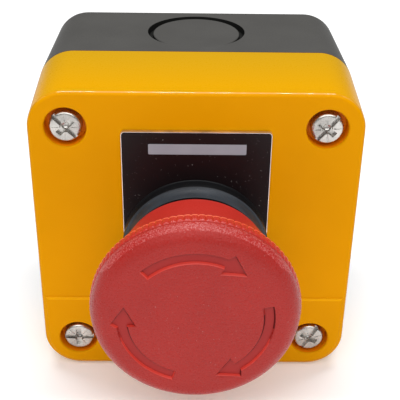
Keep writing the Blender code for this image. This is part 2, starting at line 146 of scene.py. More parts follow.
def turned_mesh(profile, segments):
    """A closed outline of (radius, y) turned about the Y axis."""
    mesh = bmesh.new()
    rings = []
    for radius, y in profile:
        if radius < 1e-6:
            rings.append([mesh.verts.new((0.0, y, 0.0))])
            continue
        ring = []
        for i in range(segments):
            angle = 2 * pi * i / segments
            ring.append(mesh.verts.new((radius * cos(angle), y, radius * sin(angle))))
        rings.append(ring)
    for first, second in zip(rings, rings[1:] + rings[:1]):
        bridge(mesh, first, second)
    return mesh


def bridge(mesh, first, second):
    """Faces between two rings; either may be one point on the axis."""
    count = max(len(first), len(second))
    if count == 1:
        return
    for i in range(count):
        j = (i + 1) % count
        if len(first) == 1:
            mesh.faces.new((first[0], second[i], second[j]))
        elif len(second) == 1:
            mesh.faces.new((first[i], first[j], second[0]))
        else:
            mesh.faces.new((first[i], first[j], second[j], second[i]))


def turned(name, profile, segments=ROUND, at=(0.0, 0.0)):
    mesh = turned_mesh([(radius, forward(height)) for radius, height in profile], segments)
    bmesh.ops.translate(mesh, vec=(at[0], 0.0, at[1]), verts=mesh.verts)
    return new_object(name, mesh)


def prism(name, outline, low, high):
    mesh = bmesh.new()
    face = mesh.faces.new([mesh.verts.new((x, forward(low), z)) for x, z in outline])
    grown = bmesh.ops.extrude_face_region(mesh, geom=[face])
    moved = [item for item in grown["geom"] if isinstance(item, bmesh.types.BMVert)]
    bmesh.ops.translate(mesh, vec=(0.0, low - high, 0.0), verts=moved)
    return new_object(name, mesh)


def arc(centre, radius, start, end, steps):
    """Points of a circular arc, angles in degrees."""
    points = []
    for i in range(steps + 1):
        angle = radians(start + (end - start) * i / steps)
        points.append((centre[0] + radius * cos(angle), centre[1] + radius * sin(angle)))
    return points


def rounded(half_x, half_z, corner, centre=(0.0, 0.0), steps=16):
    points = []
    for turn, (side_x, side_z) in enumerate(((1, 1), (-1, 1), (-1, -1), (1, -1))):
        middle = (centre[0] + side_x * (half_x - corner), centre[1] + side_z * (half_z - corner))
        points += arc(middle, corner, turn * 90.0, turn * 90.0 + 90.0, steps)
    return points


def lofted(name, sections, steps=16):
    """A square solid through sections of (y, half width, corner radius)."""
    mesh = bmesh.new()
    loops = []
    for y, half, corner in sections:
        loops.append([mesh.verts.new((x, y, z)) for x, z in rounded(half, half, corner, steps=steps)])
    for lower, upper in zip(loops, loops[1:]):
        bridge(mesh, lower, upper)
    mesh.faces.new(loops[0])
    mesh.faces.new(loops[-1])
    return new_object(name, mesh)


def boolean(target, other, operation="DIFFERENCE"):
    """Applies the Boolean and removes the other mesh."""
    modifier = target.modifiers.new("boolean", "BOOLEAN")
    modifier.operation = operation
    modifier.solver = "EXACT"
    modifier.object = other
    bake(target)
    bpy.data.objects.remove(other)
    return target


def bake(obj):
    """Applies the object's modifiers to its mesh."""
    graph = bpy.context.evaluated_depsgraph_get()
    data = bpy.data.meshes.new_from_object(obj.evaluated_get(graph))
    obj.modifiers.clear()
    obj.data = data


def soften(obj, width, angle=40.0, segments=3):
    """A small rounding along every sharp edge."""
    modifier = obj.modifiers.new("bevel", "BEVEL")
    modifier.width = width * MM
    modifier.segments = segments
    modifier.limit_method = "ANGLE"
    modifier.angle_limit = radians(angle)
    modifier.use_clamp_overlap = True
    bake(obj)


def settle(obj, angle=35.0):
    """Smooth shading whose flat faces stay flat."""
    obj.data.shade_smooth()
    obj.data.set_sharp_from_angle(angle=radians(angle))
    modifier = obj.modifiers.new("weighted", "WEIGHTED_NORMAL")
    modifier.keep_sharp = True
    modifier.weight = 80


def places(distance):
    signs = ((-1, 1), (1, 1), (-1, -1), (1, -1))
    return [(str(i + 1), (x * distance, z * distance)) for i, (x, z) in enumerate(signs)]


# ---------------------------------------------------------------- material helpers

class Nodes:
    """A short way to write a node tree around one Principled shader."""

    def __init__(self, name):
        self.material = bpy.data.materials.new(name)
        self.material.use_nodes = True
        self.tree = self.material.node_tree
        self.shader = self.tree.nodes["Principled BSDF"]
        self.place = self.tree.nodes.new("ShaderNodeTexCoord").outputs["Object"]

    def add(self, kind, **settings):
        node = self.tree.nodes.new(kind)
        for key, value in settings.items():
            setattr(node, key, value)
        return node

    def link(self, source, target):
        self.tree.links.new(source, target)

    def noise(self, scale, detail=2.0, stretch=(1.0, 1.0, 1.0), roughness=0.5):
        mapping = self.add("ShaderNodeMapping")
        mapping.inputs["Scale"].default_value = stretch
        self.link(self.place, mapping.inputs["Vector"])
        node = self.add("ShaderNodeTexNoise")
        node.inputs["Scale"].default_value = scale
        node.inputs["Detail"].default_value = detail
        node.inputs["Roughness"].default_value = roughness
        self.link(mapping.outputs["Vector"], node.inputs["Vector"])
        return node.outputs["Fac"]

    def ramp(self, source, low, high, from_value, to_value):
        node = self.add("ShaderNodeMapRange")
        node.inputs["From Min"].default_value = low
        node.inputs["From Max"].default_value = high
        node.inputs["To Min"].default_value = from_value
        node.inputs["To Max"].default_value = to_value
        self.link(source, node.inputs["Value"])
        return node.outputs["Result"]

    def mix(self, factor, first, second):
        """A colour between two; each is a colour or a socket."""
        node = self.add("ShaderNodeMix", data_type="RGBA")
        self.link(factor, node.inputs["Factor"])
        for socket, value in ((node.inputs["A"], first), (node.inputs["B"], second)):
            if isinstance(value, tuple):
                socket.default_value = (*value, 1.0)
            else:
                self.link(value, socket)
        return node.outputs["Result"]

    def bump(self, height, strength, distance):
        node = self.add("ShaderNodeBump")
        node.inputs["Strength"].default_value = strength
        node.inputs["Distance"].default_value = distance * MM
        self.link(height, node.inputs["Height"])
        return node

    def set(self, **values):
        for key, value in values.items():
            self.shader.inputs[key.replace("_", " ")].default_value = value


def moulded(name, colour, darker, roughness, grain=0.25, grain_size=0.35, dust=0.0, specular=0.5, deep=0.03,
            painted_side_light=None, patchy=0.0, painted_glints=0.0):
    """Moulded plastic: fine eroded grain, slow mottling, faint dust specks.

    The side pair is painted light: colours for the cover's sides near its face and near its seam, standing
    in for how light falls on them, with a greener painted reflection near the seam.
    patchy is how much duller the dull patches are, and the glints value is how much pale painted highlight
    is mixed in where the grain is high.
    """
    n = Nodes(name)
    slow = n.noise(90.0, 3.0)
    tone = n.mix(n.ramp(slow, 0.35, 0.65, 0.0, 1.0), darker, colour)
    # Painted light: the cover's sides take their own tones for how light falls there, greener towards the
    # seam as a painted reflection.
    if painted_side_light:
        split = n.add("ShaderNodeSeparateXYZ")
        n.link(n.place, split.inputs["Vector"])
        front_y = -BOX_DEPTH * MM
        side = n.mix(n.ramp(split.outputs["Y"], front_y + 0.004, front_y + 0.021, 0.0, 1.0), *painted_side_light)
        tone = n.mix(n.ramp(split.outputs["Y"], front_y + 0.0005, front_y + 0.0012, 0.0, 1.0), tone, side)
    if dust:
        specks = n.ramp(n.noise(3400.0, 1.0), 0.765, 0.80, 0.0, dust)
        tone = n.mix(specks, tone, (0.75, 0.72, 0.68))
    fine = n.noise(1.0 / (grain_size * MM), 3.0, roughness=0.6)
    # Painted highlight: pale specks mixed into the colour where the fine grain is high.
    if painted_glints:
        tone = n.mix(n.ramp(fine, 0.48, 0.64, 0.0, painted_glints), tone, (0.75, 0.30, 0.29))
    n.link(tone, n.shader.inputs["Base Color"])
    if patchy:
        dullness = n.ramp(n.noise(330.0, 3.0), 0.48, 0.53, roughness, roughness + patchy)
    else:
        dullness = n.ramp(fine, 0.3, 0.7, roughness - 0.06, roughness + 0.06)
    n.link(dullness, n.shader.inputs["Roughness"])
    n.link(n.bump(fine, grain, deep).outputs["Normal"], n.shader.inputs["Normal"])
    n.set(Specular_IOR_Level=specular)
    return n.material


def bare_metal(name, colour, roughness, brushed=(1.0, 1.0, 1.0), scratches=0.35):
    """Plated or rolled metal with fine scratches and uneven sheen."""
    n = Nodes(name)
    patches = n.noise(260.0, 3.0)
    dark = tuple(0.6 * part for part in colour)
    n.link(n.mix(n.ramp(patches, 0.3, 0.7, 0.0, 1.0), dark, colour), n.shader.inputs["Base Color"])
    lines = n.noise(2400.0, 2.0, brushed)
    n.link(n.ramp(lines, 0.3, 0.7, roughness - 0.08, roughness + 0.12), n.shader.inputs["Roughness"])
    n.link(n.bump(lines, scratches, 0.01).outputs["Normal"], n.shader.inputs["Normal"])
    n.set(Metallic=1.0)
    return n.material


# The cover's yellow; its side pair is painted light on the sides, with a greener painted reflection near
# the seam.
YELLOW = moulded("yellow_moulding", (0.72, 0.300, 0.0006), (0.70, 0.290, 0.0006), 0.3, 0.1, 0.3,
                 specular=0.02, painted_side_light=((0.67, 0.325, 0.0006), (0.56, 0.305, 0.006)))
EDGE_YELLOW = moulded("yellow_edge", (0.66, 0.30, 0.001), (0.64, 0.28, 0.001), 0.1, 0.3, 0.9,
                      specular=0.8, patchy=0.45)
# Painted light: a brighter yellow on the upper rounded edge of the raised strip.
STRIP_EDGE_PAINTED_LIGHT = moulded("yellow_strip_edge_painted_light", (0.84, 0.38, 0.0005), (0.82, 0.37, 0.0005), 0.3, 0.1,
                       0.3, specular=0.05)
# Painted shade: a duller, darker yellow on the cover's left and right sides.
SIDE_PAINTED_SHADE = moulded("yellow_side_painted_shade", (0.56, 0.25, 0.006), (0.53, 0.235, 0.005), 0.35, 0.1, 0.3,
                      specular=0.05)
# Painted light: a brighter, deeper orange in the screw recesses for light bouncing in them, and along the
# seam as a painted highlight line.
PAINTED_LIGHT_ORANGE = moulded("yellow_recess_and_seam_painted_light", (0.95, 0.27, 0.0005), (0.90, 0.24, 0.0005), 0.35, 0.1, 0.3,
                      specular=0.1)
GREY = moulded("grey_moulding", (0.080, 0.078, 0.0735), (0.072, 0.070, 0.066), 0.5, 0.3, 0.3,
               specular=0.12)
# Painted shade: near-black in the knock-out grooves and on the base's rear edge.
PAINTED_SHADE_GREY = moulded("grey_painted_shade", (0.012, 0.012, 0.011), (0.009, 0.009, 0.008), 0.6, 0.3, 0.3,
                      specular=0.15)
RED = moulded("red_moulding", (0.375, 0.0185, 0.014), (0.35, 0.017, 0.013), 0.3, 1.0, 0.36, 0.3,
              specular=0.24, deep=0.15)
# Painted shade: a darker red on the floors of the arrows.
ARROW_FLOOR_PAINTED_SHADE = moulded("red_arrow_floor_painted_shade", (0.345, 0.014, 0.011), (0.32, 0.012, 0.010), 0.5, 0.3, 0.35,
                   specular=0.3)
LIT_RED = moulded("red_lit_edge", (0.66, 0.045, 0.030), (0.60, 0.038, 0.026), 0.4, 0.3, 0.35,
                  specular=0.4)
SHADE_RED = moulded("red_shaded_edge", (0.13, 0.004, 0.004), (0.11, 0.003, 0.003), 0.5, 0.3, 0.35,
                    specular=0.2)
# Painted light: a brighter red on the skirt's cone, for the light it catches from above.
SKIRT_PAINTED_LIGHT = moulded("red_skirt_painted_light", (0.54, 0.030, 0.020), (0.52, 0.028, 0.018), 0.4, 0.2, 0.4,
                    specular=0.2)
# Painted highlight: pale specks and a slightly brighter red on the upper part of the head's rounded front
# edge.
FILLET_PAINTED_HIGHLIGHT = moulded("red_fillet_painted_highlight", (0.41, 0.017, 0.012), (0.39, 0.015, 0.011), 0.3, 1.0, 0.27, 0.3,
                     specular=0.3, deep=0.1, painted_glints=0.42)
# Painted highlight: a pale line along the rear edge of the ribbed rim.
REAR_EDGE_PAINTED_HIGHLIGHT = moulded("red_rear_edge_painted_highlight", (0.85, 0.18, 0.10), (0.75, 0.10, 0.05), 0.3, 0.3, 0.35,
                   specular=0.5)
# Painted light: a brighter red on the ribs round the rim.
RIBS_PAINTED_LIGHT = moulded("red_ribs_painted_light", (0.48, 0.029, 0.020), (0.45, 0.026, 0.018), 0.28, 0.4, 0.4,
                  specular=0.4)
RING_BLACK = moulded("ring_black", (0.010, 0.011, 0.012), (0.007, 0.007, 0.008), 0.4, 0.25, 0.3,
                     0.3, specular=0.35)
COLLAR_BLACK = moulded("collar_black", (0.042, 0.051, 0.062), (0.020, 0.024, 0.030), 0.5, 0.5, 0.5,
                       0.3, specular=0.35)
PLATE_BLACK = moulded("plate_print", (0.008, 0.004, 0.0045), (0.006, 0.003, 0.0035), 0.4, 0.15, 0.3,
                      0.35, specular=0.2)
PRINT_GREY = moulded("print_grey", (0.33, 0.34, 0.38), (0.28, 0.29, 0.33), 0.5, 0.1, 0.2)
ALUMINIUM = bare_metal("plate_aluminium", (0.97, 0.93, 0.94), 0.4)
ZINC = bare_metal("zinc_plate", (0.62, 0.595, 0.56), 0.3, scratches=0.6)
STEEL = bare_metal("spring_wire", (0.55, 0.55, 0.57), 0.3)
BRASS = bare_metal("stamped_brass", (0.75, 0.55, 0.24), 0.28, (1.0, 8.0, 1.0))
RUBBER = moulded("seal_rubber", (0.02, 0.02, 0.02), (0.015, 0.015, 0.015), 0.8, 0.4, 0.4)
BLOCK = moulded("block_moulding", (0.48, 0.48, 0.45), (0.43, 0.43, 0.41), 0.5, 0.2, 0.3)
GREEN = moulded("green_moulding", (0.03, 0.25, 0.07), (0.025, 0.20, 0.06), 0.4, 0.2, 0.3)
CRIMSON = moulded("crimson_moulding", (0.45, 0.02, 0.015), (0.38, 0.018, 0.012), 0.4, 0.2, 0.3)
ACETAL = moulded("acetal_white", (0.70, 0.70, 0.67), (0.66, 0.66, 0.63), 0.35, 0.1, 0.3)


def paint(obj, base, *rules):
    """A base material, and others on the faces that a rule picks.

    A rule is a material and a test of the face's middle, in millimetres, and normal.
    """
    obj.data.materials.clear()
    for material in [base] + [material for material, _ in rules]:
        obj.data.materials.append(material)
    for face in obj.data.polygons:
        middle = face.center / MM
        picked = [number for number, (_, test) in enumerate(rules, 1) if test(middle, face.normal)]
        face.material_index = picked[0] if picked else 0


def dress(obj, material, body, slot, *replaced):
    """Gives a finished piece its material if it has none and its body, and hides the nodes it stands for;
    slot is not used.
    """
    if not obj.data.materials:
        obj.data.materials.append(material)
    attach(obj, body)
    if replaced:
        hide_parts(*replaced)


# ---------------------------------------------------------------- box

def edge_arc(y, toward, radius, steps=5):
    """(y, inset) pairs that round an end of a shell; toward is +1 at the rear end, -1 at the front."""
    pairs = []
    for i in range(steps + 1):
        angle = pi / 2 * i / steps
        pairs.append((y + toward * radius * (sin(angle) - 1.0), radius * (1.0 - cos(angle))))
    return pairs


def shell(name, rear, front, rear_half, front_half, rear_round, front_round):
    """The outer solid of one half of the box, drafted between its ends, which are rounded."""
    pairs = list(reversed(edge_arc(rear, 1, rear_round))) + edge_arc(front, -1, front_round)
    sections = []
    for y, inset in pairs:
        part = (y - rear) / (front - rear)
        half = rear_half + (front_half - rear_half) * part
        sections.append((y, half - inset, CORNER - inset))
    return lofted(name, sections)


def in_groove(middle, normal):
    """On the walls and floor of either knock-out's groove."""
    away = hypot(middle.x, middle.y + KNOCKOUT_AT)
    return KNOCKOUT_DISC - 0.1 < away < KNOCKOUT_RADIUS + 0.05 and abs(middle.z) < END_HALF - 0.35


def on_back_edge(middle, normal):
    return middle.y > -1.0 and 0.03 < normal.y < 0.97


def knockout_tool(side):
    """Cuts the groove and sinks the disc of one knock-out."""
    top = END_HALF + 3.0
    disc = END_HALF - 0.1
    floor = END_HALF - 1.25
    profile = [(0.0, disc - 0.03), (6.0, disc), (KNOCKOUT_DISC - 0.35, disc)]
    profile += arc((KNOCKOUT_DISC - 0.35, disc - 0.35), 0.35, 90.0, 0.0, 4)[1:]
    profile += [(KNOCKOUT_DISC + 0.1, floor), (KNOCKOUT_RADIUS - 0.15, floor),
                (KNOCKOUT_RADIUS, top), (0.0, top)]
    mesh = turned_mesh(profile, 96)
    bmesh.ops.rotate(mesh, cent=(0, 0, 0), matrix=Matrix.Rotation(radians(90.0 * side), 3, "X"),
                     verts=mesh.verts)
    bmesh.ops.translate(mesh, vec=(0.0, -KNOCKOUT_AT, 0.0), verts=mesh.verts)
    return new_object("knockout_tool", mesh)


def rods(name, radius, low, high, spots, segments=48):
    mesh = bmesh.new()
    for x, z in spots:
        face = mesh.faces.new([mesh.verts.new((px, forward(low), pz))
                               for px, pz in arc((x, z), radius, 0.0, 360.0, segments)[:-1]])
        grown = bmesh.ops.extrude_face_region(mesh, geom=[face])
        moved = [item for item in grown["geom"] if isinstance(item, bmesh.types.BMVert)]
        bmesh.ops.translate(mesh, vec=(0.0, low - high, 0.0), verts=moved)
    return new_object(name, mesh)


def make_base():
    base = shell("base_moulding", 0.0, -BASE_DEPTH, END_HALF, SEAM_HALF, 0.8, 0.15)
    cavity = lofted("cavity", [(-WALL, INNER_HALF - 0.3, CORNER - WALL),
                               (-BASE_DEPTH - 1.0, INNER_HALF, CORNER - WALL)])
    boolean(base, cavity)
    spots = [spot for _, spot in places(BOSS_AT)]
    back = -BOX_DEPTH
    boolean(base, rods("bosses", 5.0, back + 1.0, back + BASE_DEPTH - 0.4, spots), "UNION")
    boolean(base, rods("pilots", 1.75, back + 10.0, back + BASE_DEPTH + 1.0, spots, 24))
    for _, spot in places(19.0):
        boolean(base, prism("fixing", rounded(2.5, 4.0, 2.4, spot), back - 1.0, back + WALL + 1.0))
    boolean(base, knockout_tool(1))
    boolean(base, knockout_tool(-1))
    soften(base, 0.16)
    settle(base)
    # Painted shade: the knock-out grooves and the base's rear edge are near-black.
    paint(base, GREY, (PAINTED_SHADE_GREY, in_groove), (PAINTED_SHADE_GREY, on_back_edge))
    dress(base, GREY, "enclosure", "base_plastic", "base_box")


def strip_outline(top, inset):
    """The raised strip's outline: nearly square upper corners, lower corners that follow the box."""
    half = STRIP_HALF - inset
    low = -END_HALF + 0.85 + inset
    corner = CORNER - 0.9 - inset
    points = [(half, top), (-half, top)]
    points += arc((-half + corner, low + corner), corner, 180.0, 270.0, 14)
    points += arc((half - corner, low + corner), corner, 270.0, 360.0, 14)
    return points


def make_strip():
    """A low step with a rounded rim, as a loft of shrinking outlines."""
    mesh = bmesh.new()
    loops = []
    rise = STRIP_RISE - 0.05
    round_in = 0.75
    levels = [(-1.0, 0.0), (STRIP_RISE - rise, 0.0)]
    for i in range(1, 7):
        angle = pi / 2 * i / 6
        levels.append((STRIP_RISE - rise + rise * sin(angle), round_in * (1.0 - cos(angle))))
    for height, inset in levels:
        outline = strip_outline(STRIP_TOP - inset, inset)
        loops.append([mesh.verts.new((x, forward(height), z)) for x, z in outline])
    for lower, upper in zip(loops, loops[1:]):
        bridge(mesh, lower, upper)
    mesh.faces.new(loops[0])
    mesh.faces.new(loops[-1])
    return new_object("strip", mesh)


def face_height(spot):
    """Height of the cover's surface round a screw: the lower two stand on the raised strip."""
    return STRIP_RISE if spot[1] < 0 else 0.0


def recess_tool(spot):
    lip = 0.45
    face = face_height(spot)
    profile = [(0.0, -RECESS_DEPTH), (RECESS_RADIUS - 0.4, -RECESS_DEPTH)]
    profile += arc((RECESS_RADIUS - 0.4, -RECESS_DEPTH + 0.4), 0.4, 270.0, 360.0, 4)[1:]
    profile += arc((RECESS_RADIUS + lip, face - lip), lip, 180.0, 90.0, 6)
    profile += [(RECESS_RADIUS + lip, 2.0), (0.0, 2.0)]
    return turned("recess_tool", profile, 72, spot)


def in_recess(middle, normal):
    """Inside one of the four screw recesses, below its rounded lip."""
    depth = -middle.y - BOX_DEPTH
    near = hypot(abs(middle.x) - BOSS_AT, abs(middle.z) - BOSS_AT) < RECESS_RADIUS + 0.1
    return near and -RECESS_DEPTH - 0.1 < depth < face_height((middle.x, middle.z)) - 0.4


def on_front_edge(middle, normal):
    """On the rounded edge between the cover's face and its outer sides."""
    outside = max(abs(middle.x), abs(middle.z)) > END_HALF - 3.0
    turned_up = 0.38 < -normal.y < 0.58 and normal.z > 0.2
    return outside and middle.y < -BOX_DEPTH + 1.2 and turned_up


def on_strip_edge(middle, normal):
    height = -middle.y - BOX_DEPTH
    return 0.0 < height < STRIP_RISE and abs(middle.z - STRIP_TOP + 0.4) < 0.5 and normal.z > 0.1


def on_side(middle, normal):
    return abs(middle.x) > END_HALF - 1.0 and abs(normal.x) > 0.8


def on_seam(middle, normal):
    outside = max(abs(middle.x), abs(middle.z)) > END_HALF - 3.0
    return outside and middle.y > -COVER_REAR - 0.25


def make_cover():
    cover = shell("cover_moulding", -COVER_REAR, -BOX_DEPTH, SEAM_HALF, END_HALF, 0.2, 0.9)
    cavity = lofted("cavity", [(-COVER_REAR + 1.0, INNER_HALF, CORNER - WALL),
                               (-BOX_DEPTH + WALL, INNER_HALF - 0.3, CORNER - WALL)])
    boolean(cover, cavity)
    spots = [spot for _, spot in places(BOSS_AT)]
    rear = COVER_REAR - BOX_DEPTH
    boolean(cover, rods("columns", COLUMN_RADIUS, rear + 0.4, -1.0, spots), "UNION")
    boolean(cover, make_strip(), "UNION")
    for spot in spots:
        boolean(cover, recess_tool(spot))
    boolean(cover, rods("clearances", SCREW_CLEARANCE, rear - 2.0, -RECESS_DEPTH + 1.0, spots, 24))
    boolean(cover, rods("panel_hole", PANEL_HOLE, -WALL - 1.0, 1.5, [(0.0, 0.0)], 64))
    settle(cover)
    # Painted light and shade on the cover: brighter orange in the screw recesses and along the seam, darker
    # left and right sides, and a brighter upper edge on the raised strip; the front edge differs only in
    # gloss.
    paint(cover, YELLOW, (PAINTED_LIGHT_ORANGE, in_recess), (EDGE_YELLOW, on_front_edge), (PAINTED_LIGHT_ORANGE, on_seam),
          (SIDE_PAINTED_SHADE, on_side), (STRIP_EDGE_PAINTED_LIGHT, on_strip_edge))
    dress(cover, YELLOW, "enclosure", "cover_plastic", "cover")


# ---------------------------------------------------------------- screws

def cross_tool(angle, spot, top):
    """Slot right across the head and a short crossing slot; the tapered centre is cut by a separate cone.
    """
    wide = 4.2
    short = 2.1
    bar = 0.44
    cross = 0.62
    outline = [(wide, bar), (cross, bar), (cross, short), (-cross, short), (-cross, bar), (-wide, bar),
               (-wide, -bar), (-cross, -bar), (-cross, -short), (cross, -short), (cross, -bar),
               (wide, -bar)]
    c = cos(radians(angle))
    s = sin(radians(angle))
    points = [(spot[0] + x * c - z * s, spot[1] + x * s + z * c) for x, z in outline]
    return prism("cross_tool", points, top - 0.95, top + 1.0)


def tick_tool(angle, spot, top):
    """Four short radial marks between the arms of the cross."""
    mesh = bmesh.new()
    for i in range(4):
        turn = radians(angle + 45.0 + 90.0 * i)
        c = cos(turn)
        s = sin(turn)
        outline = [(2.9, 0.11), (1.3, 0.11), (1.3, -0.11), (2.9, -0.11)]
        floor = forward(top - 0.18)
        face = mesh.faces.new([mesh.verts.new((spot[0] + x * c - z * s, floor, spot[1] + x * s + z * c))
                               for x, z in outline])
        grown = bmesh.ops.extrude_face_region(mesh, geom=[face])
        moved = [item for item in grown["geom"] if isinstance(item, bmesh.types.BMVert)]
        bmesh.ops.translate(mesh, vec=(0.0, -1.0, 0.0), verts=moved)
    return new_object("tick_tool", mesh)


def make_screws():
    under = -RECESS_DEPTH + 0.3
    radius = SCREW_RADIUS
    tip = BASE_DEPTH - 16.0 - BOX_DEPTH
    for number, spot in places(BOSS_AT):
        top = face_height(spot) - SCREW_BELOW_FACE
        profile = [(0.0, tip), (1.1, tip), (1.6, tip + 1.0), (1.6, under), (radius - 0.15, under),
                   (radius, under + 0.15), (radius, top - 0.75)]
        profile += arc((radius - 0.65, top - 0.75), 0.65, 0.0, 90.0, 6)[1:]
        profile += [(1.2, top), (0.0, top)]
        screw = turned("screw_" + number, profile, 64, spot)
        boolean(screw, cross_tool(SLOT_ANGLES[number], spot, top))
        cone = turned("cone", [(0.0, top - 2.0), (0.75, top - 1.4), (1.15, top + 0.3),
                               (0.0, top + 0.3)], 24, spot)
        boolean(screw, cone)
        boolean(screw, tick_tool(SLOT_ANGLES[number], spot, top))
        soften(screw, 0.07, 45.0, 2)
        settle(screw)
        dress(screw, ZINC, "enclosure", "zinc_steel", "cover_screw_" + number)


# ---------------------------------------------------------------- legend plate

def make_plate():
    back = -plate_high.y - BOX_DEPTH
    front = -plate_low.y - BOX_DEPTH
    middle = (plate_low.z + plate_high.z) / 2
    half_x = plate_high.x
    half_z = (plate_high.z - plate_low.z) / 2
    rim = 0.14
    mesh = bmesh.new()
    loops = []
    for height, inset in ((back, 0.0), (front - rim, 0.0), (front - 0.04, 0.04), (front, rim)):
        outline = rounded(half_x - inset, half_z - inset, 0.8 - inset, (0.0, middle), 6)
        loops.append([mesh.verts.new((x, forward(height), z)) for x, z in outline])
    for lower, upper in zip(loops, loops[1:]):
        bridge(mesh, lower, upper)
    mesh.faces.new(loops[0])
    mesh.faces.new(loops[-1])
    plate = new_object("legend_metal", mesh, 60.0)
    plate.data.materials.append(ALUMINIUM)
    plate.data.materials.append(PLATE_BLACK)
    boolean(plate, rods("plate_hole", PLATE_HOLE, -1.0, 3.0, [(0.0, 0.0)], 96))
    face_y = forward(front) * MM
    for face in plate.data.polygons:
        face.material_index = 1 if abs(face.center.y - face_y) < 1e-6 and face.normal.y < -0.9 else 0
    settle(plate, 25.0)
    dress(plate, PLATE_BLACK, "enclosure", "legend_plate", "legend_plate")
    bar = prism("legend_bar", rounded(9.9, 1.15, 0.25, (0.2, 22.2), 4), front, front + 0.03)
    dress(bar, PRINT_GREY, "enclosure", "legend_plate")


# ---------------------------------------------------------------- bezel

def make_bezel():
    """The black ring on the legend plate, and the grey-black collar that the head's skirt slides over."""
    ring = [(13.6, 1.2), (BEZEL_RADIUS, 1.12), (BEZEL_RADIUS, 1.3), (BEZEL_RADIUS - 0.09, 1.42),
            (BEZEL_RADIUS - 0.06, 3.9), (BEZEL_RADIUS - 0.1, 3.95), (14.9, 3.9), (13.6, 3.4)]
    ring_piece = turned("bezel_ring", ring, 160)
    settle(ring_piece)
    dress(ring_piece, RING_BLACK, "enclosure", "black_plastic")
    body = [(BARREL_RADIUS, BARREL_REAR), (BARREL_RADIUS, 1.2), (11.6, 1.2), (11.6, 2.0),
            (13.3, 2.0), (13.3, 3.6), (14.4, 3.98), (BEZEL_RADIUS - 0.1, 3.98),
            (BEZEL_RADIUS - 0.16, 4.02), (15.05, 4.09), (14.88, 4.2), (14.74, 4.5),
            (14.62, 4.85), (14.53, 5.2), (COLLAR_RADIUS, 5.5), (COLLAR_RADIUS, 6.7),
            (COLLAR_RADIUS - 0.06, 6.78), (14.3, 6.78), (14.26, 6.7), (14.25, 5.6), (13.4, 5.6),
            (13.4, 8.4), (12.7, 8.4), (12.7, 3.0), (BARREL_BORE, 3.0), (BARREL_BORE, BARREL_REAR)]
    collar = turned("bezel_collar", body, 160)
    settle(collar, 50.0)
    dress(collar, COLLAR_BLACK, "enclosure", "black_plastic", "bezel")


# ---------------------------------------------------------------- head

def flare(height):
    """Outer radius of the skirt's cone, which hollows slightly between its ends."""
    part = (height - SKIRT_REAR) / (RIB_REAR - SKIRT_REAR)
    return SKIRT_RADIUS + (20.0 - SKIRT_RADIUS) * part - 0.9 * part * (1.0 - part)


def cap_profile():
    """(radius, height, share of the ribs' depth there).

    It runs from the skirt's rear edge round the outside and back through the inside.
    """
    points = [(15.0, SKIRT_REAR, 0.0), (SKIRT_RADIUS - 0.03, SKIRT_REAR, 0.0),
              (SKIRT_RADIUS, SKIRT_REAR + 0.06, 0.0)]
    steps = 14
    for i in range(1, steps + 1):
        height = SKIRT_REAR + (RIB_REAR - 0.12 - SKIRT_REAR) * i / steps
        points.append((flare(height) - 0.12 * (i / steps) ** 6, height, 0.0))
    points += [(BODY_RADIUS - 0.03, RIB_REAR - 0.02, 0.25), (BODY_RADIUS, RIB_REAR + 0.06, 0.8),
               (BODY_RADIUS, RIB_REAR + 0.15, 1.0)]
    points += [(BODY_RADIUS, RIB_REAR + 0.15 + 0.28 * i, 1.0) for i in range(1, 6)]
    points += [(BODY_RADIUS, 24.62, 0.92), (BODY_RADIUS, 24.76, 0.66), (BODY_RADIUS, 24.86, 0.3),
               (BODY_RADIUS, 24.92, 0.0)]
    for i in range(0, 19):
        angle = pi / 2 * i / 18
        points.append((BODY_RADIUS - FILLET + FILLET * cos(angle),
                       HEAD_FRONT - FILLET + FILLET * sin(angle), 0.0))
    flat = BODY_RADIUS - FILLET
    for radius in (15.5, 13.0, 10.0, 6.0, 3.0):
        points.append((radius, HEAD_FRONT + 0.15 * (1.0 - (radius / flat) ** 2), 0.0))
    points.append((0.0, HEAD_FRONT + 0.15, 0.0))
    inner = [(0.0, 19.5), (2.62, 19.5), (2.62, 13.6), (4.6, 13.6), (4.6, 21.0), (17.0, 21.0),
             (14.96, 13.4), (14.66, 13.0), (14.66, SKIRT_REAR + 1.0)]
    return points + [(radius, height, 0.0) for radius, height in inner]


def rib_shape(part):
    """Height of a rib across its pitch: a block with sloping flanks and a flat groove."""
    away = abs(part - 0.5) * 2.0
    flank = min(1.0, max(0.0, (0.9 - away) / 0.26))
    return flank * flank * (3.0 - 2.0 * flank)


def cap_mesh():
    """The turned head with ribs round its rim."""
    per_rib = 8
    count = RIBS * per_rib
    mesh = bmesh.new()
    rings = []
    for radius, height, share in cap_profile():
        if radius < 1e-6:
            rings.append([mesh.verts.new((0.0, forward(height), 0.0))])
            continue
        ring = []
        for i in range(count):
            angle = 2 * pi * i / count
            r = radius + share * RIB_DEPTH * rib_shape((i % per_rib) / per_rib)
            ring.append(mesh.verts.new((r * cos(angle), forward(height), r * sin(angle))))
        rings.append(ring)
    for first, second in zip(rings, rings[1:] + rings[:1]):
        bridge(mesh, first, second)
    return mesh


def arrow_outline(start, grow):
    """A curved arrow that points clockwise seen from the front."""
    inner = ARROW_INNER - grow
    outer = ARROW_OUTER + grow
    tail = start + grow * 4.0
    outer_turn = start - 66.2
    points = arc((0.0, 0.0), outer, tail, outer_turn, 20)
    for radius, back in ((16.19 + 1.6 * grow, 69.1 - 2.0 * grow), (13.74, 85.5 + 7.0 * grow),
                         (11.35 - 1.6 * grow, 65.9 - 2.0 * grow)):
        angle = radians(start - back)
        points.append((radius * cos(angle), radius * sin(angle)))
    points += arc((0.0, 0.0), inner, start - 66.5, tail, 20)
    return points


